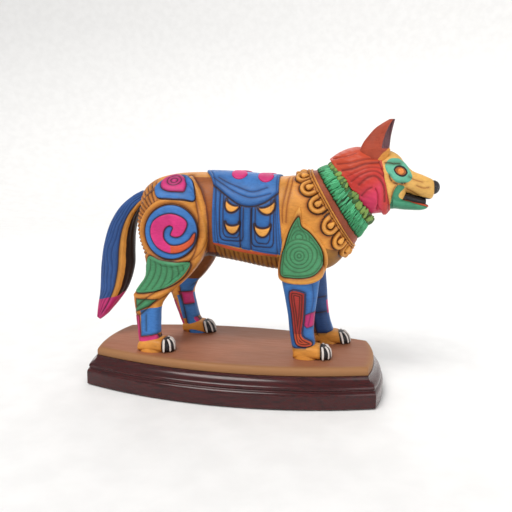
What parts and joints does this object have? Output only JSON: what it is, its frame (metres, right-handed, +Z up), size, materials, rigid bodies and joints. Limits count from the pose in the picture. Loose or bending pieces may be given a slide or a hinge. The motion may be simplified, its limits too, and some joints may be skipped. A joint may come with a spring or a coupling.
{
  "type": "wolf figurine",
  "caption": "Standing wolf figure carved in relief and painted in flat colours, on a moulded plinth with bowed sides, for display on a shelf.",
  "frame": {"origin": "centre of the felt's underside, under the middle of the plinth", "axes": "+X towards the wolf's nose along the plinth, +Y to the wolf's left, +Z up"},
  "size_m": [0.3492, 0.153, 0.2655],
  "materials": {
    "felt": "matte green felt",
    "mahogany_stain": "dark mahogany stain under satin lacquer",
    "tan_board": "tan paint over wood, satin",
    "screw_steel": "zinc-plated",
    "dowel_wood": "plain turned dowel",
    "ochre_paint": "carved wood with ochre paint and a brown antiquing wash, satin",
    "pale_ochre_paint": "carved wood with pale ochre paint, satin",
    "blue_paint": "carved wood with cobalt blue paint, satin",
    "magenta_paint": "carved wood with magenta paint, satin",
    "red_paint": "carved wood with orange-red paint, satin",
    "green_paint": "carved wood with leaf green paint, satin",
    "emerald_paint": "carved wood with emerald paint, satin",
    "olive_paint": "carved wood with olive paint, satin",
    "turquoise_paint": "carved wood with turquoise paint, satin",
    "umber_paint": "carved wood with dark umber paint, satin",
    "black_paint": "carved wood with black paint, satin",
    "claw_paint": "carved wood with off-white paint, satin",
    "amber_paint": "carved wood with amber paint, gloss"
  },
  "bodies": {
    "root": {"base_felt": "felt", "plinth": "mahogany_stain", "cap_board": "tan_board", "cap_screws": "screw_steel", "paw_screws": "screw_steel", "torso": "ochre_paint", "foreleg_right": "blue_paint", "foreleg_left": "blue_paint", "hindleg_right": "ochre_paint", "hindleg_left": "ochre_paint", "claws": "claw_paint", "leg_dowels": "dowel_wood", "neck_dowel": "dowel_wood", "tail": "blue_paint", "tail_dowel": "dowel_wood", "head": "ochre_paint", "lower_jaw": "turquoise_paint", "nose": "black_paint", "eyes": "amber_paint", "hood": "red_paint", "ear_right": "red_paint", "ear_left": "red_paint", "ear_dowels": "dowel_wood", "collar": "ochre_paint", "collar_beads": "pale_ochre_paint", "throat_band": "umber_paint", "feather_ruff": "emerald_paint", "leaf_garland": "olive_paint", "saddle_cloth": "blue_paint", "saddle_crescents": "pale_ochre_paint", "saddle_spots": "magenta_paint", "rump_shield_right": "blue_paint", "rump_shield_left": "blue_paint", "hip_disc_right": "blue_paint", "hip_disc_left": "blue_paint", "hip_spiral_right": "magenta_paint", "hip_spiral_left": "magenta_paint", "thigh_panel_right": "green_paint", "thigh_panel_left": "green_paint", "shoulder_shield_right": "ochre_paint", "shoulder_shield_left": "ochre_paint", "shoulder_inlay_right": "green_paint", "shoulder_inlay_left": "green_paint", "foreleg_motif_right": "red_paint", "foreleg_motif_left": "red_paint"}
  },
  "joints": []
}
